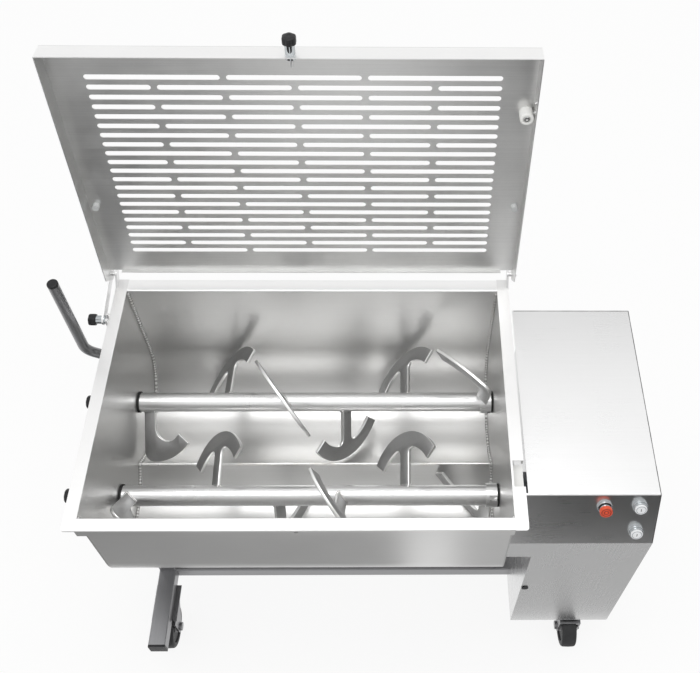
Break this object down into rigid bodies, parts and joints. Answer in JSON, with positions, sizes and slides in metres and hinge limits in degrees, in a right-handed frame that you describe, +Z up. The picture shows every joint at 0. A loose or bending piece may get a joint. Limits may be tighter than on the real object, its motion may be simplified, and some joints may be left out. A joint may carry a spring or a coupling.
{
  "type": "meat mixer",
  "caption": "Tilting twin-shaft meat mixer in stainless steel, with a slotted open lid, anchor paddles and a drive cabinet with push buttons, on casters.",
  "frame": {"origin": "on the floor below the middle of the overall box, with the lid open", "axes": "+Z up, +X from the tank towards the drive cabinet, operator at -Y, lid hinge at +Y"},
  "size_m": [1.21, 0.6526, 1.4606],
  "materials": {
    "polished_sheet": "bright brushed stainless sheet",
    "tank_steel": "satin stainless sheet of the tank and lid",
    "frame_steel": "darker brushed stainless square tube",
    "turned_steel": "turned stainless",
    "gear_steel": "hardened gear steel",
    "cast_housing": "grey painted casting",
    "chrome_trim": "bright chrome",
    "black_plastic": "moulded black plastic",
    "white_plastic": "white nylon",
    "grey_plastic": "grey enclosure plastic",
    "red_plastic": "orange-red button",
    "white_button": "white button",
    "black_rubber": "black rubber",
    "grey_tread": "dark caster tread"
  },
  "bodies": {
    "stand": {"floor_tubes": "frame_steel", "foot_end_caps": "black_plastic", "left_post": "frame_steel", "left_bearing_plate": "frame_steel", "tilt_buffer": "black_rubber", "cross_tube": "frame_steel", "pivot_bearings": "cast_housing", "caster_plates": "frame_steel", "cabinet_body": "polished_sheet", "cabinet_hood": "polished_sheet", "front_cover": "polished_sheet", "rear_cover": "polished_sheet", "cable_gland": "black_plastic", "gearbox_housing": "cast_housing", "motor_housing": "cast_housing", "electrical_box": "grey_plastic", "button_barrels": "chrome_trim"},
    "tank": {"tank_shell": "tank_steel", "tank_end_left": "tank_steel", "tank_end_right": "tank_steel", "shaft_hubs": "turned_steel", "shaft_seals": "black_rubber", "gearcase": "turned_steel", "gearcase_cover": "turned_steel", "tilt_handle": "frame_steel", "hinge_brackets": "turned_steel", "lid_sensor": "black_plastic"},
    "lid": {"lid_pan": "tank_steel", "stay_arm": "turned_steel", "lid_rest_pads": "white_plastic", "interlock_puck": "white_plastic", "plunger_housings": "chrome_trim"},
    "latch": {"latch_plunger": "black_plastic"},
    "stay": {"stay_plunger": "black_plastic"},
    "front_rotor": {"front_shaft": "turned_steel", "front_paddles": "tank_steel", "front_drive_shaft": "turned_steel", "front_gear": "gear_steel", "worm_wheel": "gear_steel"},
    "rear_rotor": {"rear_shaft": "turned_steel", "rear_paddles": "tank_steel", "rear_drive_shaft": "turned_steel", "rear_gear": "gear_steel"},
    "front_idler": {"front_idler_gear": "gear_steel"},
    "rear_idler": {"rear_idler_gear": "gear_steel"},
    "motor": {"motor_shaft": "gear_steel"},
    "front_pin": {"front_support_pin": "turned_steel"},
    "rear_pin": {"rear_support_pin": "turned_steel"},
    "stop": {"stop_button": "red_plastic"},
    "start": {"start_button": "white_button"},
    "reverse": {"reverse_button": "white_button"},
    "lock": {"panel_lock": "black_plastic"},
    "fork_1": {"caster_fork_1": "frame_steel"},
    "wheel_1": {"caster_wheel_1": "grey_tread"},
    "fork_2": {"caster_fork_2": "frame_steel"},
    "wheel_2": {"caster_wheel_2": "grey_tread"},
    "fork_3": {"caster_fork_3": "frame_steel"},
    "wheel_3": {"caster_wheel_3": "grey_tread"},
    "fork_4": {"caster_fork_4": "frame_steel"},
    "wheel_4": {"caster_wheel_4": "grey_tread"}
  },
  "joints": [
    {"name": "tank_tilt", "type": "hinge", "parent": "stand", "child": "tank", "pos_m": [-0.088, -0.13031, 0.58], "axis": [1, 0, 0], "range_deg": [0, 90]},
    {"name": "lid_hinge", "type": "hinge", "parent": "tank", "child": "lid", "pos_m": [-0.088, 0.26269, 0.838], "axis": [1, 0, 0], "range_deg": [0, 96.85]},
    {"name": "latch_pull", "type": "slide", "parent": "lid", "child": "latch", "axis": [0, 0.1193, 0.9929], "range_m": [-0.005, 0.004]},
    {"name": "stay_pull", "type": "slide", "parent": "lid", "child": "stay", "axis": [-1, 0, 0], "range_m": [-0.004, 0.004]},
    {"name": "front_spin", "type": "hinge", "parent": "tank", "child": "front_rotor", "pos_m": [-0.088, -0.13031, 0.58], "axis": [1, 0, 0], "continuous": true},
    {"name": "rear_spin", "type": "hinge", "parent": "tank", "child": "rear_rotor", "pos_m": [-0.088, 0.08969, 0.58], "axis": [1, 0, 0], "continuous": true},
    {"name": "front_idler_spin", "type": "hinge", "parent": "tank", "child": "front_idler", "pos_m": [0.328, -0.05631, 0.58], "axis": [1, 0, 0], "continuous": true},
    {"name": "rear_idler_spin", "type": "hinge", "parent": "tank", "child": "rear_idler", "pos_m": [0.328, 0.01569, 0.58], "axis": [1, 0, 0], "continuous": true},
    {"name": "motor_spin", "type": "hinge", "parent": "stand", "child": "motor", "pos_m": [0.457, -0.05181, 0.58], "axis": [0, 0, 1], "continuous": true},
    {"name": "front_pin_slide", "type": "slide", "parent": "tank", "child": "front_pin", "axis": [-1, 0, 0], "range_m": [0, 0.045]},
    {"name": "rear_pin_slide", "type": "slide", "parent": "tank", "child": "rear_pin", "axis": [-1, 0, 0], "range_m": [0, 0.045]},
    {"name": "panel_lock_turn", "type": "hinge", "parent": "stand", "child": "lock", "pos_m": [0.3795, -0.25831, 0.374], "axis": [0, 1, 0], "range_deg": [0, 90]},
    {"name": "stop_press", "type": "slide", "parent": "stand", "child": "stop", "axis": [0, 0.9249, -0.3803], "range_m": [0, 0.004], "stiffness_N_per_m": 500},
    {"name": "start_press", "type": "slide", "parent": "stand", "child": "start", "axis": [0, 0.9249, -0.3803], "range_m": [0, 0.004], "stiffness_N_per_m": 500},
    {"name": "reverse_press", "type": "slide", "parent": "stand", "child": "reverse", "axis": [0, 0.9249, -0.3803], "range_m": [0, 0.004], "stiffness_N_per_m": 500},
    {"name": "caster_swivel_1", "type": "hinge", "parent": "stand", "child": "fork_1", "pos_m": [-0.466, -0.21531, 0.105], "axis": [0, 0, 1], "continuous": true},
    {"name": "caster_roll_1", "type": "hinge", "parent": "fork_1", "child": "wheel_1", "pos_m": [-0.466, -0.24931, 0.05], "axis": [1, 0, 0], "continuous": true},
    {"name": "caster_swivel_2", "type": "hinge", "parent": "stand", "child": "fork_2", "pos_m": [-0.466, 0.14469, 0.105], "axis": [0, 0, 1], "continuous": true},
    {"name": "caster_roll_2", "type": "hinge", "parent": "fork_2", "child": "wheel_2", "pos_m": [-0.466, 0.11069, 0.05], "axis": [1, 0, 0], "continuous": true},
    {"name": "caster_swivel_3", "type": "hinge", "parent": "stand", "child": "fork_3", "pos_m": [0.519, -0.21531, 0.105], "axis": [0, 0, 1], "continuous": true},
    {"name": "caster_roll_3", "type": "hinge", "parent": "fork_3", "child": "wheel_3", "pos_m": [0.519, -0.24931, 0.05], "axis": [1, 0, 0], "continuous": true},
    {"name": "caster_swivel_4", "type": "hinge", "parent": "stand", "child": "fork_4", "pos_m": [0.519, 0.14469, 0.105], "axis": [0, 0, 1], "continuous": true},
    {"name": "caster_roll_4", "type": "hinge", "parent": "fork_4", "child": "wheel_4", "pos_m": [0.519, 0.11069, 0.05], "axis": [1, 0, 0], "continuous": true}
  ],
  "couplings": [
    {"joint": "rear_spin", "follows": "front_spin", "ratio": -1},
    {"joint": "front_idler_spin", "follows": "front_spin", "ratio": -1.0556},
    {"joint": "rear_idler_spin", "follows": "front_spin", "ratio": 1.0556},
    {"joint": "motor_spin", "follows": "front_spin", "ratio": 20}
  ]
}
